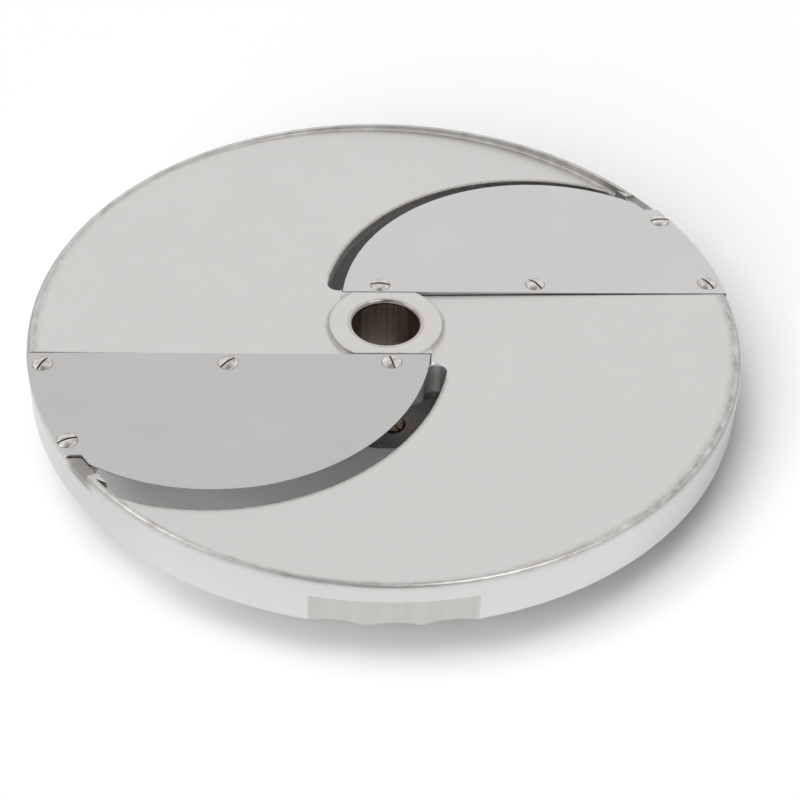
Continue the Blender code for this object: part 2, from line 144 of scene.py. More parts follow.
def stacked(name, rings, turn=0.0):
    """Closed solid through rings of (x, y, z) points, with a flat cap at each end."""
    shape = bmesh.new()
    loops = [[shape.verts.new(point) for point in ring] for ring in rings]
    shape.faces.new(loops[0])
    shape.faces.new(loops[-1])
    for lower, upper in zip(loops, loops[1:]):
        for i in range(len(lower)):
            j = (i + 1) % len(lower)
            shape.faces.new([lower[i], lower[j], upper[j], upper[i]])
    return new_piece(name, shape, turn)


def block(name, outline, low, high, turn=0.0):
    """Upright solid on an outline, with a level or sloping floor and ceiling."""

    def at(level):
        return [(p.x, p.y, level(p) if callable(level) else level) for p in outline]

    return stacked(name, [at(low), at(high)], turn)


def post(name, radius, low, high, centre=AXIS, steps=180, turn=0.0):
    """Upright cylinder. Its first corner is turned a little, so that no corner lies on a cut."""
    outline = arc(centre, radius, FIRST_STEP, FIRST_STEP + 2 * math.pi, steps)[:-1]
    return block(name, outline, low, high, turn)


def spun(name, profile, steps):
    """Turned solid from a closed profile of (radius, height) points."""
    shape = bmesh.new()
    loops = []
    for i in range(steps):
        turn = 2 * math.pi * i / steps
        loops.append([shape.verts.new((r * math.cos(turn), r * math.sin(turn), z)) for r, z in profile])
    for i in range(steps):
        here, there = loops[i], loops[(i + 1) % steps]
        for j in range(len(profile)):
            k = (j + 1) % len(profile)
            shape.faces.new([here[j], there[j], there[k], here[k]])
    return new_piece(name, shape)


def carve(body, operation, *tools):
    """Joins, cuts or trims a piece with others, which are used up."""
    for tool in tools:
        modifier = body.modifiers.new(tool.name, "BOOLEAN")
        modifier.operation = operation
        modifier.object = tool
    graph = bpy.context.evaluated_depsgraph_get()
    mesh = bpy.data.meshes.new_from_object(body.evaluated_get(graph))
    body.modifiers.clear()
    body.data = mesh
    for tool in tools:
        bpy.data.objects.remove(tool)
    return body


def rounding(corner_r, corner_z, radius, start, end, steps):
    """Arc in a profile, about a centre, between two angles in degrees."""
    points = arc(Vector((corner_r, corner_z)), radius, math.radians(start), math.radians(end), steps)
    return [(p.x, p.y) for p in points]


def plate_level(point):
    return TOP - PLATE_DROP * (1 + point.x / DISC_RADIUS)


def half_region(left, right):
    """All that lies behind one level on the left of the axis, and behind another on its right."""
    near = [(-BEYOND, left), (0.0, left), (0.0, right), (BEYOND, right)]
    return [Vector(corner) for corner in near + [(BEYOND, BEYOND), (-BEYOND, BEYOND)]]


def plate_outline(rim=0.0, blade=0.0, pad=0.0, edge=0.0):
    """Outline of one plate's top, drawn in by a margin on each of its four sides."""
    radius = DISC_RADIUS - RIM_LAND - rim
    corner = polar(DISC_RADIUS - RIM_LAND + SEAT_GAP, PLATE_END_AZIMUTH)
    heel = HEEL - SEAT_GAP * ALONG
    behind = arc_centre(heel, corner)
    behind_radius = (heel - behind).length + blade
    pad_radius = PAD_RADIUS + pad
    offset = edge - BLADE_OFFSET
    left = offset * ACROSS - math.sqrt(radius**2 - offset**2) * ALONG
    inner = offset * ACROSS - math.sqrt(pad_radius**2 - offset**2) * ALONG
    end = meeting(AXIS, radius, behind, behind_radius, corner)
    notch = meeting(AXIS, pad_radius, behind, behind_radius, Vector((-0.013, 0.010)))
    turn = 2 * math.pi
    rim_side = arc(AXIS, radius, bearing(left) + turn, bearing(end), 260)
    blade_side = arc(behind, behind_radius, bearing(end - behind), bearing(notch - behind), 150)
    pad_side = arc(AXIS, pad_radius, bearing(notch), bearing(inner) + turn, 60)
    edge_side = [inner.lerp(left, i / 24) for i in range(25)]
    return rim_side[:-1] + blade_side[:-1] + pad_side[:-1] + edge_side[:-1]


def plate_pocket(number, turn):
    """Cutter of one plate's top. Its floor meets the walls in a fillet, and its mouth is eased."""
    fillets = {"rim": 0.0005, "blade": 0.0003, "pad": 0.0010, "edge": 0.0006}
    least_fillet = 0.0002
    ease = 0.0003
    wall = plate_outline()
    inset = plate_outline(**fillets)
    mouth = plate_outline(*(-ease,) * 4)
    steps = 5
    share = []
    for point, pulled in zip(wall, inset):
        fillet = max((point - pulled).length, least_fillet)
        share.append(min(1.0, (TOP - plate_level(point)) / (fillet + ease) * 0.98))
    rings = []
    for i in range(steps + 1):
        swing = math.pi / 2 * i / steps
        ring = []
        for point, pulled, part in zip(wall, inset, share):
            place = point.lerp(pulled, part * (1 - math.sin(swing)))
            rise = (point - pulled).length * part * (1 - math.cos(swing))
            ring.append((place.x, place.y, plate_level(place) + rise))
        rings.append(ring)
    for i in range(steps + 1):
        swing = math.pi / 2 * i / steps
        ring = []
        for point, pushed, part in zip(wall, mouth, share):
            place = point.lerp(pushed, part * (1 - math.cos(swing)))
            ring.append((place.x, place.y, TOP - ease * part * (1 - math.sin(swing))))
        rings.append(ring)
    rings.append([(x, y, TOP + PAST) for x, y, _ in rings[-1]])
    return stacked(f"plate_{number}_top", rings, turn)


def slot_outline(grow=0.0):
    """Outline of the round-ended slot before a cutting edge, up to the inside of the rim."""
    rise = BLADE_OFFSET + SLOT_END - ARC_RISE
    start = math.pi - math.asin(rise / SLOT_MIDDLE)
    half = SLOT_WIDTH / 2 + grow
    outer_end = meeting(ARC_CENTRE, SLOT_MIDDLE + half, AXIS, RIM_INSIDE, TIP)
    inner_end = meeting(ARC_CENTRE, SLOT_MIDDLE - half, AXIS, RIM_INSIDE, TIP)
    cap_centre = ARC_CENTRE + SLOT_MIDDLE * Vector((math.cos(start), math.sin(start)))
    outer = arc(ARC_CENTRE, SLOT_MIDDLE + half, bearing(outer_end - ARC_CENTRE), start, 150)
    cap = arc(cap_centre, half, start, start + math.pi, 24)
    inner = arc(ARC_CENTRE, SLOT_MIDDLE - half, start, bearing(inner_end - ARC_CENTRE), 150)
    rim = arc(AXIS, RIM_INSIDE, bearing(inner_end), bearing(outer_end), 8)
    return outer[:-1] + cap[:-1] + inner[:-1] + rim[:-1]


def slot(number, turn):
    """Cutter of the slot, flared at its lip where the edge is filed."""
    lip = 0.00035
    worn_reach = 0.009
    steps = 5
    wall = slot_outline()
    flared = slot_outline(lip)
    blind_end = min(wall, key=lambda p: p.y)
    wide = [1 + 1.8 * max(0.0, 1 - (p - blind_end).length / worn_reach) for p in wall]
    rings = [[(p.x, p.y, CORE_FLOOR - PAST) for p in wall]]
    for i in range(steps + 1):
        swing = math.pi / 2 * i / steps
        ring = []
        for point, pushed, more in zip(wall, flared, wide):
            place = point.lerp(pushed, more * (1 - math.cos(swing)))
            ring.append((place.x, place.y, plate_level(place) - lip * more * (1 - math.sin(swing))))
        rings.append(ring)
    rings.append([(x, y, TOP + PAST) for x, y, _ in rings[-1]])
    return stacked(f"slot_{number}", rings, turn)


def underside(number, turn):
    """Cutter that hollows one half from below, and one for the window under its blade."""

    def ceiling(point):
        return plate_level(point) - PLATE_THICKNESS

    low = RIM_FLOOR - PAST
    hollow = block(f"under_{number}", half_region(-BAR_LOW, BAR_HIGH), low, ceiling, turn)
    carve(hollow, "INTERSECT", post("inside", RIM_INSIDE - 0.0004, low - PAST, TOP, steps=360))
    carve(hollow, "DIFFERENCE", post("core", CORE_RADIUS, low - PAST, TOP))
    window = block(f"window_{number}", half_region(0.0, BAR_HIGH - 0.0002), low, TOP + PAST, turn)
    centre = Matrix.Rotation(turn, 2) @ ARC_CENTRE
    bounds = (
        post("inside", RIM_INSIDE - 0.0002, low - PAST, TOP + 2 * PAST, steps=360),
        post("area", SLOT_MIDDLE, low - PAST, TOP + 2 * PAST, centre, 360),
    )
    carve(window, "INTERSECT", *bounds)
    carve(window, "DIFFERENCE", post("core", CORE_RADIUS - 0.0002, low - PAST, TOP + 2 * PAST))
    return hollow, window


def blade_seat(number, turn):
    """Cutter that lets one blade into the bar, the hub and the rim."""
    offset = BLADE_OFFSET - SEAT_GAP
    far = offset * ACROSS + math.sqrt(BEYOND**2 - offset**2) * ALONG
    heel = HEEL - SEAT_GAP * (ALONG + ACROSS)
    ear_level = EAR.y + SEAT_GAP
    past_tip = math.radians(8)
    first = bearing(TIP - ARC_CENTRE) + past_tip
    edge = arc(ARC_CENTRE, BLADE_ARC + SEAT_GAP, first, bearing(heel - ARC_CENTRE), 60)
    ear = [Vector((far.x, ear_level)), Vector((EAR.x - RIM_WALL, ear_level))]
    outline = [far] + ear + edge[:-1] + [heel]
    return block(f"seat_{number}", outline, TOP - BLADE_THICKNESS - SEAT_GAP, TOP + PAST, turn)


def ear_notch(number, turn):
    """Cutter that lowers the rim between a blade's ear and its tip."""
    inner, outer = RIM_INSIDE - 0.0006, DISC_RADIUS + PAST
    ear_outside = math.degrees(math.asin(EAR.y / outer))
    ear_inside = math.degrees(math.asin(EAR.y / inner))
    end_outside, end_inside = PLATE_END_AZIMUTH - 1.7, PLATE_END_AZIMUTH - 0.2
    outline = [polar(inner, ear_inside), polar(outer, ear_outside)]
    outline += [polar(outer, end_outside), polar(inner, end_inside)]
    return block(f"notch_{number}", outline, TOP - NOTCH_DEPTH, TOP + PAST, turn)


def screw_places():
    """Centres of one blade's screws: three along the long edge, and one in the ear."""
    from_rim, ear_from_rim = 0.0043, 0.0028
    outer = math.sqrt((DISC_RADIUS - from_rim) ** 2 - SCREW_ROW**2)
    row = [Vector((x, SCREW_ROW)) for x in (-0.0010, 0.0450, outer)]
    return row + [polar(DISC_RADIUS - ear_from_rim, EAR_SCREW_AZIMUTH)]


def rib(number, turn):
    start, end = (BOSS_RADIUS + CORE_RADIUS) / 2, RIM_INSIDE + RIM_WALL / 2
    half = RIB_WIDTH / 2
    outline = [Vector(corner) for corner in ((start, -half), (end, -half), (end, half), (start, half))]
    ceiling = TOP - 2 * PLATE_DROP - PLATE_THICKNESS / 2
    return block(f"rib_{number}", outline, CORE_FLOOR + 0.0002, ceiling, turn + math.radians(RIB_AZIMUTH))


def casting_blank():
    """Turned outside of the casting, still solid between the rim and the hub."""
    outer, inside = DISC_RADIUS, RIM_INSIDE + 0.0002
    foot, root, boss_end = 0.0005, 0.0012, 0.0006
    profile = [(0.060, TOP), (outer - RIM_ROUND - 0.002, TOP)]
    profile += rounding(outer - RIM_ROUND, TOP - RIM_ROUND, RIM_ROUND, 90, 0, 9)
    profile += [(outer, TOP - 0.006), (outer, TOP - 0.010)]
    profile += rounding(outer - foot, RIM_FLOOR + foot, foot, 0, -90, 4)
    profile += rounding(inside + foot, RIM_FLOOR + foot, foot, -90, -180, 4)
    profile += [(inside, CORE_FLOOR), (BOSS_RADIUS + root, CORE_FLOOR)]
    profile += rounding(BOSS_RADIUS + root, CORE_FLOOR - root, root, 90, 180, 5)[1:]
    profile += rounding(BOSS_RADIUS - boss_end, boss_end, boss_end, 0, -90, 4)
    profile += [(BUSH_HOLE, 0.0), (BUSH_HOLE, TOP), (BUSH_HOLE + 0.002, TOP)]
    return spun("casting", profile, 360)


casting = casting_blank()
for number, turn in enumerate(HALF_TURNS, 1):
    hollow, window = underside(number, turn)
    carve(casting, "DIFFERENCE", hollow)
    carve(casting, "UNION", rib(number, turn))
    carve(casting, "DIFFERENCE", window)
    lug_centre = polar(DISC_RADIUS - LUG_RADIUS - 0.0002, EAR_SCREW_AZIMUTH)
    lug_top = TOP - BLADE_THICKNESS - 0.0001
    carve(casting, "UNION", post(f"lug_{number}", LUG_RADIUS, CORE_FLOOR, lug_top, lug_centre, 48, turn))
    carve(casting, "DIFFERENCE", plate_pocket(number, turn), slot(number, turn))
    carve(casting, "DIFFERENCE", blade_seat(number, turn), ear_notch(number, turn))
    holes = []
    for i, place in enumerate(screw_places()):
        holes.append(post(f"hole_{i}", SCREW_HOLE, TOP - HOLE_DEPTH, TOP + PAST, place, 32, turn))
    carve(casting, "DIFFERENCE", *holes)


# Drive slot and set screw hole
# The slot is milled across the hub's lower end for the shaft's cross pin, and a plain hole is drilled
# into the boss, so that a screw can lock the bush.

KEY_WIDTH = 0.0064
KEY_DEPTH = 0.008
SET_SCREW_TURN = math.radians(-84.0)
SET_SCREW_LEVEL = 0.0092
SET_HOLE_RADIUS = 0.0032


def oblong(half_length, half_width):
    """Corners of a rectangle about the disc's axis."""
    return [Vector((x * half_length, y * half_width)) for x, y in ((-1, -1), (1, -1), (1, 1), (-1, 1))]


def key_slot():
    return block("key_slot", oblong(0.04, KEY_WIDTH / 2), -PAST, KEY_DEPTH)


def laid_radially(piece):
    """Lays an upright piece along the set screw's axis, by its mesh."""
    lay = Matrix.Rotation(SET_SCREW_TURN, 4, "Z") @ Matrix.Rotation(math.pi / 2, 4, "Y")
    piece.data.transform(Matrix.Translation((0.0, 0.0, SET_SCREW_LEVEL)) @ lay)
    return piece


set_hole = laid_radially(post("set_hole", SET_HOLE_RADIUS, 0.0096, 0.024, steps=48))
carve(casting, "DIFFERENCE", key_slot(), set_hole)


# Finger grips
# Two rows of shallow scoops milled in the rim's side, opposite each other, for lifting the disc off
# its shaft. Each scoop runs from below the rim's shoulder to its lower edge.

SCOOP_TOP = TOP - 0.0056
SCOOP_WIDTH = 0.0146
SCOOP_DEPTH = 0.0013
CUTTER_HEIGHT = 0.020
GRIP_AZIMUTHS = (-90.8, 89.2)


class Wire:
    """A node's output. Sums of wires and numbers add their own Math nodes."""

    def __init__(self, nodes, socket):
        self.nodes = nodes
        self.socket = socket

    def out(self, name):
        return Wire(self.nodes, self.socket.node.outputs[name])

    def math(self, operation, *others, swap=False):
        terms = (*others, self) if swap else (self, *others)
        return self.nodes.add("ShaderNodeMath", {"operation": operation}, dict(enumerate(terms)))

    def __add__(self, other):
        return self.math("ADD", other)

    __radd__ = __add__

    def __sub__(self, other):
        return self.math("SUBTRACT", other)

    def __rsub__(self, other):
        return self.math("SUBTRACT", other, swap=True)

    def __mul__(self, other):
        return self.math("MULTIPLY", other)

    __rmul__ = __mul__

    def __truediv__(self, other):
        return self.math("DIVIDE", other)

    def __rtruediv__(self, other):
        return self.math("DIVIDE", other, swap=True)

    def __pow__(self, other):
        return self.math("POWER", other)

    def __abs__(self):
        return self.math("ABSOLUTE")

    def least(self, other):
        return self.math("MINIMUM", other)

    def most(self, other):
        return self.math("MAXIMUM", other)

    def held(self):
        """Kept between 0 and 1."""
        return self.most(0.0).least(1.0)

    def past(self, level, slope):
        """0 up to a level, then rising to 1 at a slope."""
        return ((self - level) * slope).held()

    def short_of(self, level, slope):
        """0 from a level on, and rising to 1 below it at a slope."""
        return ((level - self) * slope).held()

    def fading(self, width):
        """1 where a distance is 0, falling smoothly to 0 at a width."""
        return (1 - abs(self) / width).held() ** 1.5

    def root(self):
        return self.math("SQRT")


class Nodes:
    """Adds nodes to a tree, each with its settings first and then its sockets' values or links."""

    def __init__(self, tree):
        self.tree = tree

    def add(self, kind, settings=None, sockets=None, output=0):
        node = self.tree.nodes.new(kind)
        for key, value in (settings or {}).items():
            setattr(node, key, value)
        for key, value in (sockets or {}).items():
            if isinstance(value, Wire):
                self.tree.links.new(value.socket, node.inputs[key])
            else:
                node.inputs[key].default_value = value
        return Wire(self, node.outputs[output])

    def vector(self, x, y, z):
        return self.add("ShaderNodeCombineXYZ", {}, {0: x, 1: y, 2: z})

    def end(self, geometry):
        """Ends a geometry tree."""
        group_output = self.tree.nodes.new("NodeGroupOutput")
        self.tree.links.new(geometry.socket, group_output.inputs[0])


def shape_rule(name, sizes):
    """New geometry tree with named number inputs, as (nodes, group input, tree)."""
    tree = bpy.data.node_groups.new(name, "GeometryNodeTree")
    tree.interface.new_socket("Geometry", in_out="INPUT", socket_type="NodeSocketGeometry")
    for size in sizes:
        tree.interface.new_socket(size, in_out="INPUT", socket_type="NodeSocketFloat")
    tree.interface.new_socket("Geometry", in_out="OUTPUT", socket_type="NodeSocketGeometry")
    nodes = Nodes(tree)
    return nodes, nodes.add("NodeGroupInput"), tree


def grown(name, points, tree, values, driver_angles=()):
    """Plain mesh that a tree makes from a mesh of points, with the tree's named sizes set."""
    mesh = bpy.data.meshes.new(name)
    mesh.from_pydata([tuple(point) for point in points], [], [])
    if driver_angles:
        attribute = mesh.attributes.new("driver_angle", "FLOAT", "POINT")
        for item, degrees in zip(attribute.data, driver_angles):
            item.value = math.radians(degrees)
    piece = bpy.data.objects.new(name, mesh)
    bpy.context.scene.collection.objects.link(piece)
    modifier = piece.modifiers.new("rule", "NODES")
    modifier.node_group = tree
    for item in tree.interface.items_tree:
        if item.in_out == "INPUT" and item.name in values:
            modifier[item.identifier] = values[item.name]
    graph = bpy.context.evaluated_depsgraph_get()
    piece.data = bpy.data.meshes.new_from_object(piece.evaluated_get(graph))
    piece.modifiers.clear()
    return piece


def scoop_rule():
    """A round cutter on each point, upright and as tall as it is told."""
    nodes, given, tree = shape_rule("scoops", ("Radius", "Height"))
    cutter = nodes.add(
        "GeometryNodeMeshCylinder",
        {"fill_type": "NGON"},
        {"Vertices": 300, "Radius": given.out("Radius"), "Depth": given.out("Height")},
    )
    spread = nodes.add(
        "GeometryNodeInstanceOnPoints", {}, {"Points": given.out("Geometry"), "Instance": cutter}
    )
    real = nodes.add("GeometryNodeRealizeInstances", {}, {"Geometry": spread})
    bare = nodes.add("GeometryNodeSetMaterial", {}, {"Geometry": real})
    nodes.end(bare)
    return tree


half = SCOOP_WIDTH / 2
sag = SCOOP_DEPTH - (DISC_RADIUS - math.sqrt(DISC_RADIUS**2 - half**2))
scoop_radius = (half**2 + sag**2) / (2 * sag)
pitch = 2 * math.degrees(math.asin(half / DISC_RADIUS))
SCOOP_RULE = scoop_rule()
for i in range(3):
    places = []
    for azimuth in GRIP_AZIMUTHS:
        centre = polar(DISC_RADIUS - SCOOP_DEPTH + scoop_radius, azimuth + pitch * (i - 1))
        places.append((centre.x, centre.y, SCOOP_TOP - CUTTER_HEIGHT / 2))
    cutter_sizes = {"Radius": scoop_radius, "Height": CUTTER_HEIGHT}
    carve(casting, "DIFFERENCE", grown(f"scoops_{i}", places, SCOOP_RULE, cutter_sizes))


def finish_faces(piece, degrees=32):
    """Smooth shading that keeps flat faces flat and edges over an angle crisp."""
    shape = bmesh.new()
    shape.from_mesh(piece.data)
    bmesh.ops.remove_doubles(shape, verts=shape.verts, dist=2e-7)
    bmesh.ops.dissolve_degenerate(shape, edges=shape.edges, dist=1e-7)
    shape.to_mesh(piece.data)
    shape.free()
    piece.data.shade_smooth()
    piece.data.set_sharp_from_angle(angle=math.radians(degrees))
    weighted = piece.modifiers.new("flat_faces", "WEIGHTED_NORMAL")
    weighted.keep_sharp = True
    weighted.weight = 90
    return piece


class Finish(Nodes):
    """A material's nodes. It reads the piece's own coordinates, in metres from the disc's centre."""

    def __init__(self, name):
        self.material = bpy.data.materials.new(name)
        self.material.use_nodes = True
        super().__init__(self.material.node_tree)
        self.shader = self.tree.nodes["Principled BSDF"]
        self.place = self.add("ShaderNodeTexCoord", output="Object")
        parts = self.add("ShaderNodeSeparateXYZ", {}, {0: self.place})
        self.x, self.y, self.z = parts.out("X"), parts.out("Y"), parts.out("Z")
        self.radius = (self.x * self.x + self.y * self.y).root()

    def noise(self, scale, detail=3.0, rough=0.5, place=None):
        """Noise centred on 0, between about -1 and 1."""
        sockets = {"Vector": place or self.place, "Scale": scale, "Detail": detail, "Roughness": rough}
        return self.add("ShaderNodeTexNoise", {"noise_dimensions": "3D"}, sockets) * 2 - 1

    def mix(self, amount, plain, other):
        """Colour between two colours or wires of colour."""
        sockets = {0: amount, 6: self.colour(plain), 7: self.colour(other)}
        return self.add("ShaderNodeMix", {"data_type": "RGBA"}, sockets, output=2)

    def colour(self, value):
        return value if isinstance(value, Wire) else (*value, 1.0)

    def soft_edges(self, radius):
        return self.add("ShaderNodeBevel", {"samples": 6}, {"Radius": radius})

    def bump(self, height, distance, normal):
        sockets = {"Height": height, "Distance": distance, "Strength": 1.0, "Normal": normal}
        return self.add("ShaderNodeBump", {}, sockets)

    def distance_to(self, centre):
        """Distance from an upright line."""
        across, along = self.x - centre.x, self.y - centre.y
        return (across * across + along * along).root()

    def set(self, **values):
        """Sets the shader's sockets, named with underscores for spaces."""
        for name, value in values.items():
            socket = self.shader.inputs[name.replace("_", " ")]
            if isinstance(value, Wire):
                self.tree.links.new(value.socket, socket)
            else:
                socket.default_value = value
        return self.material


def cast_aluminium():
    """Blasted casting with a turned rim and dirt along its steps. Painted shade darkens the rim's side
    away from the grips, the hollow under the plates, the boss and the notch beside each ear, and is mixed
    with the dirt in the rim's inner corner, at the foot of the pad and along each blade's seam.
    """
    cast = Finish("cast_aluminium")
    x, y, z, radius = cast.x, cast.y, cast.z, cast.radius
    cloud = cast.noise(55.0, 4.0, 0.55)
    mottle = cast.noise(420.0, 5.0, 0.62)
    blotch = cast.noise(1100.0, 4.0, 0.7)
    speck = cast.noise(1500.0, 2.0, 0.5)

    plate_edge = DISC_RADIUS - RIM_LAND
    this_side = (x * y * 4e5).held()
    turned = radius.past(plate_edge + 0.0001, 5000)
    ear_gap = z.short_of(TOP - 0.0006, 9000) * z.past(TOP - 0.0012, 9000)
    recess_floor = ear_gap * radius.short_of(DISC_RADIUS - 0.0004, 4000) * this_side
    side = radius.past(DISC_RADIUS - 0.0008, 4000)
    grip_x = abs(x * y / abs(y) - 0.0014)
    scooped = grip_x.short_of(SCOOP_WIDTH * 1.5, 9000) * z.short_of(SCOOP_TOP - 0.00005, 9000) * turned
    bright = turned * (1 - scooped) * (1 - recess_floor)

    across = abs(x * math.sin(BLADE_LEAN) + y * math.cos(BLADE_LEAN))
    own_half = ((x * y + 0.00017) * 4e5).held()
    notch = Vector((0.0822, 0.0590))
    notch_x, notch_y = abs(x) - notch.x, abs(y) - notch.y
    from_notch = (notch_x * notch_x + notch_y * notch_y).root()
    smear = cast.noise(1.0, 5.0, 0.6, cast.vector(x / radius * 20, y / radius * 20, radius * 560))
    rim_line = (radius - (DISC_RADIUS - 0.0008)).fading(0.0009) * (0.76 + smear * 0.9)
    # Painted shade mixed with dirt: a dark line in the corner at the foot of the rim's inner wall.
    rim_corner = (radius - (plate_edge - 0.0001)).fading(0.0009) * (0.45 + smear * 0.8)
    rim_land = radius.past(plate_edge - 0.0024, 420) ** 1.5
    rim_stain = rim_land * (0.50 + smear * 1.1 + mottle * 0.35).held()
    worn = abs(x).past(0.0655, 140) * abs(y).short_of(0.0790, 140) * this_side
    worn_land = (radius - plate_edge - 0.0008).fading(0.0016) * worn * (0.7 + smear * 0.5)
    rim_stain = rim_stain.most(worn_land) * (1 - side) * (0.70 + (x * 12).held() * 0.25)
    # Painted shade mixed with dirt: a dark line in the fillet at the foot of the pad's step.
    pad_line = (radius - (PAD_RADIUS + 0.0004)).fading(0.0012) * (0.62 + mottle * 0.5)
    # Painted shade mixed with dirt: a dark line along the gap at each blade's long edge.
    seam = (across - BLADE_OFFSET + 0.0003).fading(0.0007) * (0.55 + mottle * 0.6) * own_half
    lip_a = (cast.distance_to(ARC_CENTRE) - SLOT_ARC - 0.0002).fading(0.0013) * y.past(0.0215, 500)
    lip_b = (cast.distance_to(-ARC_CENTRE) - SLOT_ARC - 0.0002).fading(0.0013) * y.short_of(-0.0215, 500)
    lip = lip_a.most(lip_b) * (0.80 + blotch * 0.9) * radius.short_of(RIM_INSIDE - 0.0012, 900)
    # Painted shade: the notch beside each ear is darkened, on its floor and its walls.
    recess = (1.9 - from_notch * 260).held() * this_side * z.short_of(TOP - 0.0003, 4000)
    recess = recess * radius.past(RIM_INSIDE + 0.0001, 8000) * 0.95
    # Dirt and painted shade together: the rim stain, the rim line and the lip line, joined by the painted
    # shade of the corner, pad, seam and notch masks.
    dirt_and_shade = rim_corner.most(rim_line).most(rim_stain).most(pad_line)
    dirt_and_shade = dirt_and_shade.most(seam).most(lip).most(recess).held() * z.past(0.0255, 900)

    tone = cast.mix((0.5 + cloud * 0.3).held(), (0.645, 0.632, 0.617), (0.68, 0.667, 0.652))
    tone = cast.mix((0.5 + speck * 0.5).held() * 0.30, tone, (0.57, 0.56, 0.55))
    tone = cast.mix(bright * (0.85 + cloud * 0.3), tone, (0.665, 0.66, 0.652))
    # Painted shade: the rim's side wall is darkened at its left and right ends, standing in for the shaded
    # floor it reflects there.
    tone = cast.mix(side * abs(x).past(0.060, 28) * 0.58, tone, (0.40, 0.395, 0.40))
    tone = cast.mix(scooped * (0.75 + smear * 0.5).held(), tone, (0.50, 0.488, 0.47))
    tone = cast.mix(dirt_and_shade * 0.78, tone, (0.215, 0.195, 0.178))
    # Painted shade: the hollow under the plates is darkened, less so on the hub core's wall, and the boss
    # below it is darkened further.
    hollow = radius.short_of(RIM_INSIDE - 0.0050, 110) * z.short_of(0.0262, 900)
    core = radius.short_of(0.0244, 4000) * z.past(0.0187, 4000)
    boss = radius.short_of(0.0226, 4000) * z.short_of(0.0183, 4000)
    tone = cast.mix(hollow * (1 - core * 0.35) * (0.85 + cloud * 0.2), tone, (0.40, 0.39, 0.38))
    tone = cast.mix(boss * (0.75 + blotch * 0.6).held(), tone, (0.17, 0.165, 0.155))

    rings = cast.noise(1.0, 2.0, 0.5, cast.vector(x * 6, y * 6, z * 5200))
    lathe = cast.noise(1.0, 2.0, 0.5, cast.vector(radius * 4200, 0.0, 0.0))
    rough = 0.40 + mottle * 0.03 + dirt_and_shade * 0.14 - bright * 0.17 - scooped * 0.08
    grain = cast.noise(2600.0, 3.0, 0.6) * (1 - bright)
    height = grain * 0.5 + rings * side * (1 - scooped) * 0.35 + lathe * (turned - side).held() * 0.5
    normal = cast.bump(height, 0.00001, cast.soft_edges(0.0003))
    return cast.set(Base_Color=tone, Metallic=1.0, Roughness=rough, Normal=normal)


casting.data.materials.clear()
casting.data.materials.append(cast_aluminium())
finish_faces(casting)
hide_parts("disc_body")
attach(casting, "root")


# Blades
# Two blades cut from stainless sheet, ground flat on top and bevelled from below along the curved
# edge. Each lies in its seat, level with the rim, and is held by countersunk screws.

BEVEL_WIDTH = 0.004
EDGE_LAND = 0.0003
HEAD_RADIUS = 0.0028
SHANK_RADIUS = 0.0015
HEAD_HEIGHT = 0.0013
SINK_GAP = 0.00008
GRIND_LEAN = 0.21
BLADE_TONES = ((0.608, 0.600, 0.596), (0.530, 0.524, 0.518))


def blade_outline(inset=0.0, bevel=0.0):
    """Outline of one blade, drawn in all round, and further along its cutting edge for the bevel."""
    radius = DISC_RADIUS - inset
    offset = BLADE_OFFSET + inset
    toe = offset * ACROSS + math.sqrt(radius**2 - offset**2) * ALONG
    ear_level = EAR.y - inset
    ear_out = Vector((math.sqrt(radius**2 - ear_level**2), ear_level))
    seat_radius = RIM_INSIDE - SEAT_GAP - inset
    ear_in = Vector((math.sqrt(seat_radius**2 - ear_level**2), ear_level))
    tip = meeting(ARC_CENTRE, BLADE_ARC - inset, AXIS, seat_radius, TIP)
    heel = offset * ACROSS - (BLADE_REACH - inset) * ALONG
    first, last = bearing(tip - ARC_CENTRE), bearing(heel - ARC_CENTRE)
    steps = 200
    fade_at_tip, fade_at_heel = 0.05, 0.02
    edge = []
    for i in range(steps + 1):
        part = i / steps
        drawn = bevel * min(1.0, part / fade_at_tip, (1 - part) / fade_at_heel)
        turn = first + (last - first) * part
        edge.append(ARC_CENTRE + (BLADE_ARC - inset - drawn) * Vector((math.cos(turn), math.sin(turn))))
    rim = arc(AXIS, radius, bearing(toe), bearing(ear_out), 80)
    seat = arc(AXIS, seat_radius, bearing(ear_in), bearing(tip), 8)
    ear = [ear_out.lerp(ear_in, i / 3) for i in range(3)]
    long_edge = [heel.lerp(toe, i / 12) for i in range(12)]
    return rim[:-1] + ear + seat[:-1] + edge[:-1] + long_edge


def spindle(name, profile, centre):
    """Solid turned round an upright line, from an open profile whose ends lie on the line."""
    steps = 48
    shape = bmesh.new()
    first = shape.verts.new((0.0, 0.0, profile[0][1]))
    last = shape.verts.new((0.0, 0.0, profile[-1][1]))
    loops = []
    for r, z in profile[1:-1]:
        ring = [2 * math.pi * i / steps for i in range(steps)]
        loops.append([shape.verts.new((r * math.cos(t), r * math.sin(t), z)) for t in ring])
    for i in range(steps):
        j = (i + 1) % steps
        shape.faces.new([first, loops[0][i], loops[0][j]])
        shape.faces.new([last, loops[-1][j], loops[-1][i]])
        for upper, lower in zip(loops, loops[1:]):
            shape.faces.new([upper[j], upper[i], lower[i], lower[j]])
    bmesh.ops.translate(shape, verts=shape.verts, vec=(centre.x, centre.y, 0.0))
    return new_piece(name, shape)


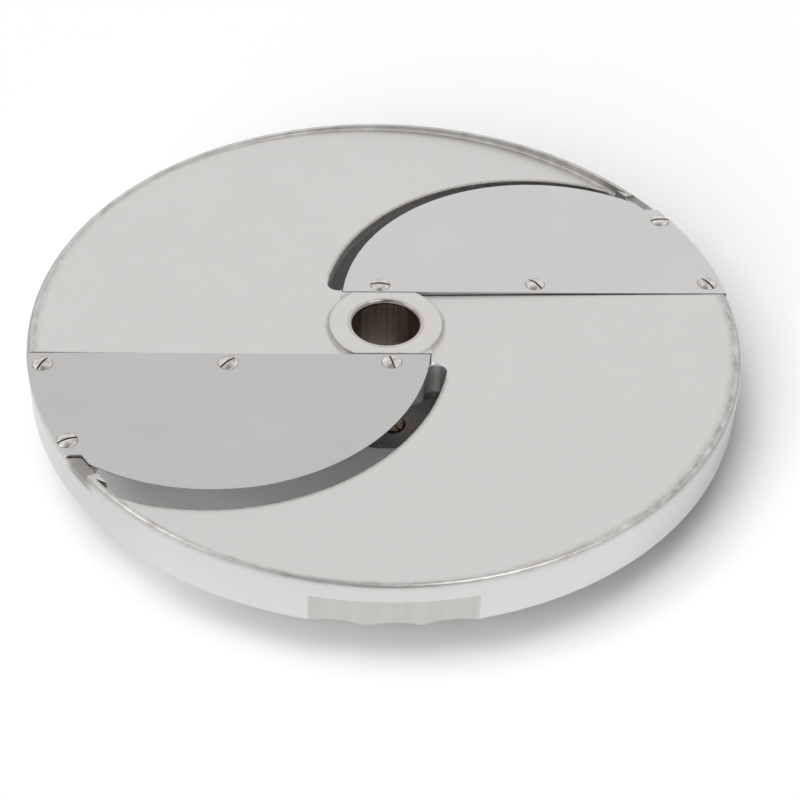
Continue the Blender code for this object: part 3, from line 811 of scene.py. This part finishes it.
def blade(number, turn):
    """One blade, its upper corner broken and its curved edge bevelled from below, with its screw holes."""
    broken, half_broken = 0.00014, 0.00004
    sections = (
        (broken, 0.0, TOP),
        (half_broken, 0.0, TOP - half_broken),
        (0.0, 0.0, TOP - broken),
        (0.0, 0.0, TOP - EDGE_LAND),
        (0.0, BEVEL_WIDTH, TOP - BLADE_THICKNESS),
    )
    rings = [[(p.x, p.y, level) for p in blade_outline(inset, bevel)] for inset, bevel, level in sections]
    plate = stacked(f"blade_{number}_ground", rings, turn)
    mouth, shank = HEAD_RADIUS + SINK_GAP + 0.00006, SHANK_RADIUS + SINK_GAP
    through = TOP - 0.004
    profile = [
        (0.0, TOP + PAST),
        (mouth, TOP + PAST),
        (mouth, TOP),
        (HEAD_RADIUS + SINK_GAP, TOP - SINK_GAP),
        (shank, TOP - HEAD_HEIGHT - SINK_GAP),
        (shank, through),
        (0.0, through),
    ]
    for i, place in enumerate(screw_places()):
        carve(plate, "DIFFERENCE", spindle(f"sink_{i}", profile, Matrix.Rotation(turn, 2) @ place))
    return finish_faces(plate, 25)


def ground_steel(name, tone):
    """Ground sheet with fine parallel scratches and cloudy wear, with painted shade darkening the foot of
    its long edge.
    """
    steel = Finish(name)
    x, y = steel.x, steel.y
    along = x * math.cos(GRIND_LEAN) + y * math.sin(GRIND_LEAN)
    across = y * math.cos(GRIND_LEAN) - x * math.sin(GRIND_LEAN)
    scratch = steel.noise(1.0, 4.0, 0.6, steel.vector(along * 60, across * 5200, steel.z * 40))
    streak = steel.noise(1.0, 3.0, 0.5, steel.vector(along * 14, across * 420, 0.0))
    cloud = steel.noise(38.0, 4.0, 0.5)
    smudge = steel.noise(170.0, 5.0, 0.6)
    light, dark, smudged = (tuple(c * share for c in tone) for share in (1.045, 0.93, 0.86))
    base = steel.mix((0.5 + cloud * 0.35 + streak * 0.2).held(), dark, light)
    base = steel.mix((smudge * 0.5 + 0.1).held() * 0.25, base, smudged)
    offset = abs(x * math.sin(BLADE_LEAN) + y * math.cos(BLADE_LEAN))
    # Painted shade: the face of the long edge is darkened at its foot, at the plate's level and below it.
    foot = TOP - PLATE_DROP * (1 - abs(x) / DISC_RADIUS) + 0.00015
    wall = (1 - abs(offset - BLADE_OFFSET) * 9000).held() * ((foot - steel.z) * 6000).held()
    base = steel.mix(wall * 0.80, base, (0.24, 0.225, 0.215))
    rough = 0.31 + smudge * 0.03 + scratch * 0.035
    height = scratch * 0.7 + streak * 0.3
    normal = steel.bump(height, 0.0000022, steel.soft_edges(0.00012))
    return steel.set(Base_Color=base, Metallic=1.0, Roughness=rough, Normal=normal)


for number, turn in enumerate(HALF_TURNS, 1):
    plate = blade(number, turn)
    plate.data.materials.clear()
    plate.data.materials.append(ground_steel(f"blade_steel_{number}", BLADE_TONES[number - 1]))
    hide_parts(f"blade_{number}")
    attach(plate, "root")


# Blade screws
# Plated raised countersunk machine screws with a sawn slot, in plain holes that stand for tapped ones.
# Each slot stands where its screw came to rest, so no two point the same way.

DRIVER_ANGLES = ((-4.0, -50.0, -58.0, 2.0), (105.0, 45.0, 62.0, 24.0))
SCREW_SIZES = {
    "Head Radius": HEAD_RADIUS,
    "Dome": 0.0006,
    "Head Height": HEAD_HEIGHT,
    "Shank Radius": SHANK_RADIUS,
    "Length": 0.008,
    "Slot Width": 0.00065,
    "Slot Depth": 0.0009,
    "Top": TOP,
}


def screw_rule():
    """A screw on each point, its profile spun from a grid, sawn across and turned by its attribute."""
    nodes, given, tree = shape_rule("blade_screws", SCREW_SIZES)
    head, shank, dome = given.out("Head Radius"), given.out("Shank Radius"), given.out("Dome")
    rows = {"dome": 14, "cone": 16, "neck": 18, "shaft": 20, "point": 22, "last": 24}
    sockets = {"Size X": 1.0, "Size Y": 1.0, "Vertices X": 49, "Vertices Y": rows["last"] + 1}
    grid = nodes.add("GeometryNodeMeshGrid", {}, sockets)
    place = nodes.add("ShaderNodeSeparateXYZ", {}, {0: nodes.add("GeometryNodeInputPosition")})
    turn = (place.out("X") + 0.5) * (2 * math.pi)
    row = ((place.out("Y") + 0.5) * rows["last"]).math("ROUND")
    dome_part = (row / rows["dome"]).held()
    ease = ((row - rows["dome"]) / 2).held()
    cone = ((row - rows["cone"]) / 2).held()
    neck = ((row - rows["neck"]) / 2).held()
    shaft = (row - rows["shaft"]).held()
    point, closing = (row - rows["point"]).held(), (row - rows["point"] - 1).held()
    radius = head * 0.96 * dome_part + head * 0.04 * ease - (head - shank) * cone
    radius = radius - shank * 0.2 * point - shank * 0.8 * closing
    level = dome * (1 - dome_part * dome_part * 0.92) - dome * 0.08 * ease
    level = level - given.out("Head Height") * cone
    below_head = given.out("Length") - given.out("Head Height")
    level = level - below_head * (neck * 0.4 + shaft * 0.55 + point * 0.05)
    spot = nodes.vector(radius * turn.math("COSINE"), radius * turn.math("SINE"), level)
    skin = nodes.add("GeometryNodeSetPosition", {}, {"Geometry": grid, "Position": spot})
    skin = nodes.add("GeometryNodeMergeByDistance", {}, {"Geometry": skin, "Distance": 1e-6})
    skin = nodes.add("GeometryNodeFlipFaces", {}, {"Mesh": skin})
    saw_size = nodes.vector(head * 3, given.out("Slot Width"), given.out("Slot Depth") * 2)
    saw = nodes.add("GeometryNodeMeshCube", {}, {"Size": saw_size})
    lift = nodes.vector(0.0, 0.0, dome)
    saw = nodes.add("GeometryNodeTransform", {}, {"Geometry": saw, "Translation": lift})
    cut = {"operation": "DIFFERENCE", "solver": "EXACT"}
    sawn = nodes.add("GeometryNodeMeshBoolean", cut, {"Mesh 1": skin, "Mesh 2": saw})
    angle = nodes.add("GeometryNodeInputNamedAttribute", {"data_type": "FLOAT"}, {"Name": "driver_angle"})
    spin = nodes.vector(0.0, 0.0, angle)
    sockets = {"Points": given.out("Geometry"), "Instance": sawn, "Rotation": spin}
    spread = nodes.add("GeometryNodeInstanceOnPoints", {}, sockets)
    real = nodes.add("GeometryNodeRealizeInstances", {}, {"Geometry": spread})
    raised = nodes.vector(0.0, 0.0, given.out("Top"))
    real = nodes.add("GeometryNodeTransform", {}, {"Geometry": real, "Translation": raised})
    nodes.end(nodes.add("GeometryNodeSetMaterial", {}, {"Geometry": real, "Material": SCREW_PLATING}))
    return tree


def screw_plating():
    """Worn nickel plating, stained in patches, with painted shade darkening the slot and the head below
    its top edge to a deep brown.
    """
    plating = Finish("screw_nickel")
    mottle = plating.noise(900.0, 4.0, 0.6)
    stain = plating.noise(620.0, 4.0, 0.55)
    # Painted shade: below the head's top edge, in the slot and in the sink, the plating is darkened to
    # deep brown.
    low = plating.z.short_of(TOP - 0.0001, 6000)
    base = plating.mix((0.5 + stain * 1.3).held(), (0.78, 0.755, 0.73), (0.44, 0.395, 0.355))
    base = plating.mix(low * 0.9, base, (0.115, 0.085, 0.068))
    rough = 0.13 + mottle * 0.05 + low * 0.25
    normal = plating.bump(mottle, 0.000012, plating.soft_edges(0.0001))
    return plating.set(Base_Color=base, Metallic=1.0, Roughness=rough, Normal=normal)


SCREW_PLATING = screw_plating()
SCREW_RULE = screw_rule()
for number, turn in enumerate(HALF_TURNS, 1):
    places = [(Matrix.Rotation(turn, 2) @ place).to_3d() for place in screw_places()]
    driver_angles = DRIVER_ANGLES[number - 1]
    screws = grown(f"blade_{number}_screws", places, SCREW_RULE, SCREW_SIZES, driver_angles)
    finish_faces(screws, 28)
    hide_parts(*[f"blade_{number}_screw_{i}" for i in (1, 2, 3, 4)])
    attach(screws, "root")


# Drive bush
# A steel bush pressed into the hub, turned smooth outside and reamed to the machine's shaft, with a
# rounded mouth. Its bore has gone brown and carries streaks from sliding on and off the shaft.

BORE_RADIUS = 0.0096
BUSH_RADIUS = 0.01109
MOUTH = 0.0011


def drive_bush():
    low, broken, crisp = 0.0003, 0.0002, 0.00002
    profile = [(BUSH_RADIUS, low + broken), (BUSH_RADIUS - broken, low), (BORE_RADIUS + broken, low)]
    profile += [(BORE_RADIUS, low + broken), (BORE_RADIUS, KEY_DEPTH + 0.002)]
    profile += rounding(BORE_RADIUS + MOUTH, TOP - MOUTH, MOUTH, 180, 90, 10)
    profile += [(BUSH_RADIUS - crisp, TOP), (BUSH_RADIUS, TOP - crisp)]
    bush = spun("drive_bush_turned", profile, 180)
    return finish_faces(carve(bush, "DIFFERENCE", key_slot()), 25)


def bush_steel():
    """Lighter on the flat top, with painted shade keeping the rounded mouth dark, brown and streaked
    lengthwise in the bore.
    """
    steel = Finish("bush_steel")
    inside = steel.z.short_of(TOP - 0.0010, 4000)
    unit_x, unit_y = steel.x / steel.radius, steel.y / steel.radius
    streak = steel.noise(1.0, 4.0, 0.6, steel.vector(unit_x * 9, unit_y * 9, steel.z * 18))
    fine = steel.noise(1.0, 3.0, 0.6, steel.vector(unit_x * 34, unit_y * 34, steel.z * 40))
    spot = steel.noise(600.0, 4.0, 0.6)
    worn = (0.45 + streak * 0.9 + fine * 0.35).held()
    brown = steel.mix(worn, (0.245, 0.20, 0.168), (0.62, 0.55, 0.49))
    # Painted shade: the rounded mouth keeps these dark tones, and only the flat top is lightened.
    bright = steel.mix((0.5 + spot * 0.8).held(), (0.33, 0.305, 0.285), (0.18, 0.165, 0.15))
    rim = steel.z.short_of(TOP - 0.00004, 9000) * (1 - inside)
    bright = steel.mix((1 - rim) * 0.75, bright, (0.60, 0.59, 0.575))
    base = steel.mix(inside, bright, brown)
    rough = 0.11 + inside * 0.22 + spot * 0.03
    normal = steel.bump(fine * 0.6 + spot * 0.4, 0.000006, steel.soft_edges(0.0002))
    return steel.set(Base_Color=base, Metallic=1.0, Roughness=rough, Normal=normal)


bush = drive_bush()
bush.data.materials.clear()
bush.data.materials.append(bush_steel())
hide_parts("drive_bush")
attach(bush, "root")


# Set screw
# A slotted brass grub screw in the boss that locks the bush. Its end is seen through the lower slot,
# dull brown, with small bright spots painted on as highlights.


def set_screw():
    radius, bevel = 0.0030, 0.0004
    face, inner_end = BOSS_RADIUS - 0.0005, BUSH_RADIUS + SEAT_GAP
    slot_depth, slot_angle = 0.0008, math.radians(35)
    profile = [
        (0.0, face),
        (radius - bevel, face),
        (radius, face - bevel),
        (radius, inner_end + 0.0002),
        (radius - 0.0002, inner_end),
        (0.0, inner_end),
    ]
    screw = spindle("set_screw_slotted", profile, AXIS)
    driver = block("driver", oblong(0.005, 0.0004), face - slot_depth, face + PAST, slot_angle)
    carve(screw, "DIFFERENCE", driver)
    return finish_faces(laid_radially(screw), 25)


def tarnished_brass():
    brass = Finish("set_screw_brass")
    stain = brass.noise(700.0, 4.0, 0.6)
    # Painted highlight: small bright spots on the screw's end, with lower roughness.
    painted_highlight = ((brass.noise(900.0, 2.0, 0.5) - 0.30) * 9).held()
    base = brass.mix((0.45 + stain * 1.4).held(), (0.13, 0.10, 0.065), (0.62, 0.49, 0.33))
    base = brass.mix(painted_highlight, base, (0.95, 0.86, 0.70))
    rough = 0.36 + stain * 0.1 - painted_highlight * 0.15
    normal = brass.bump(stain, 0.00002, brass.soft_edges(0.0002))
    return brass.set(Base_Color=base, Metallic=1.0, Roughness=rough, Normal=normal)


grub = set_screw()
grub.data.materials.clear()
grub.data.materials.append(tarnished_brass())
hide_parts("bush_set_screw")
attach(grub, "root")


# Floor, light and camera
# A white table in a white surround, seen over the disc's front edge. Three wide soft lamps light it from
# the front left, the left and above, two more show only as glints, and a dark strip only in reflections.

TABLE_HALF = 3
SURROUND_FILL = 0.02
LAMPS = {
    "front_lamp": ((-0.41, -0.78, 0.47), 2.15, 46),
    "side_lamp": ((-0.46, -0.22, 0.86), 1.19, 46),
    "top_lamp": ((-0.11, 0.0, 0.99), 1.11, 46),
    "left_glint": ((-0.56, 0.12, 0.80), 0.22, 18),
    "right_glint": ((0.265, -0.10, 0.95), 0.38, 22),
}
CAMERA_PLACE = (-0.024089, -0.409932, 0.374291)
CAMERA_ELEVATION = math.radians(42.3665)
CAMERA_AZIMUTH = math.radians(4.0633)
CAMERA_ROLL = math.radians(2.3596)


def white_floor():
    shape = bmesh.new()
    shape.faces.new([shape.verts.new(corner.to_3d()) for corner in oblong(TABLE_HALF, TABLE_HALF)])
    floor = new_piece("floor", shape)
    paper = Finish("floor_paper")
    grain = paper.noise(90.0, 3.0, 0.5)
    tone = paper.mix((0.5 + grain * 0.3).held(), (0.975, 0.975, 0.975), (0.985, 0.985, 0.985))
    floor.data.materials.append(paper.set(Base_Color=tone, Roughness=0.9, Specular_IOR_Level=0.1))
    return floor


white_floor()

world = bpy.data.worlds.new("white_surround")
bpy.context.scene.world = world
world.use_nodes = True
surround = Nodes(world.node_tree)
ray = surround.add("ShaderNodeLightPath")
seen = ray.out("Is Camera Ray").most(ray.out("Is Glossy Ray")).most(ray.out("Is Transmission Ray"))
backdrop = world.node_tree.nodes["Background"]
backdrop.inputs["Color"].default_value = (1.0, 1.0, 1.0, 1.0)
direction = surround.add("ShaderNodeTexCoord", output="Generated")
toward = surround.add("ShaderNodeSeparateXYZ", {}, {0: direction})
strip = (1.3 - abs(toward.out("X")) * 3.4).held() * toward.out("Y").short_of(0.52, 3.5)
strip = strip * toward.out("Z").past(0.35, 3) * ray.out("Is Glossy Ray")
strength = SURROUND_FILL + seen * (1 - SURROUND_FILL) - strip * 0.62
world.node_tree.links.new(strength.socket, backdrop.inputs["Strength"])

for name, (direction, energy, width) in LAMPS.items():
    lamp_data = bpy.data.lights.new(name, "SUN")
    lamp_data.energy = energy
    lamp_data.angle = math.radians(width)
    lamp = bpy.data.objects.new(name, lamp_data)
    bpy.context.scene.collection.objects.link(lamp)
    glint = name.endswith("glint")
    lamp.visible_glossy = glint
    lamp.visible_diffuse = not glint
    lamp.matrix_world = Vector(direction).to_track_quat("Z", "Y").to_matrix().to_4x4()

camera_data = bpy.data.cameras.new("camera")
camera_data.lens = 83.371
camera_data.sensor_width = 36.0
camera_data.clip_start = 0.01
camera = bpy.data.objects.new("camera", camera_data)
bpy.context.scene.collection.objects.link(camera)
level, down = math.cos(CAMERA_ELEVATION), math.sin(CAMERA_ELEVATION)
ahead = Vector((level * math.sin(CAMERA_AZIMUTH), level * math.cos(CAMERA_AZIMUTH), -down))
right = Vector((math.cos(CAMERA_AZIMUTH), -math.sin(CAMERA_AZIMUTH), 0.0))
upward = right.cross(ahead)
rolled_right = math.cos(CAMERA_ROLL) * right + math.sin(CAMERA_ROLL) * upward
rolled_up = math.cos(CAMERA_ROLL) * upward - math.sin(CAMERA_ROLL) * right
facing = Matrix((rolled_right, rolled_up, -ahead)).transposed().to_4x4()
camera.matrix_world = Matrix.Translation(CAMERA_PLACE) @ facing
bpy.context.scene.camera = camera
bpy.context.scene.view_settings.view_transform = "Standard"
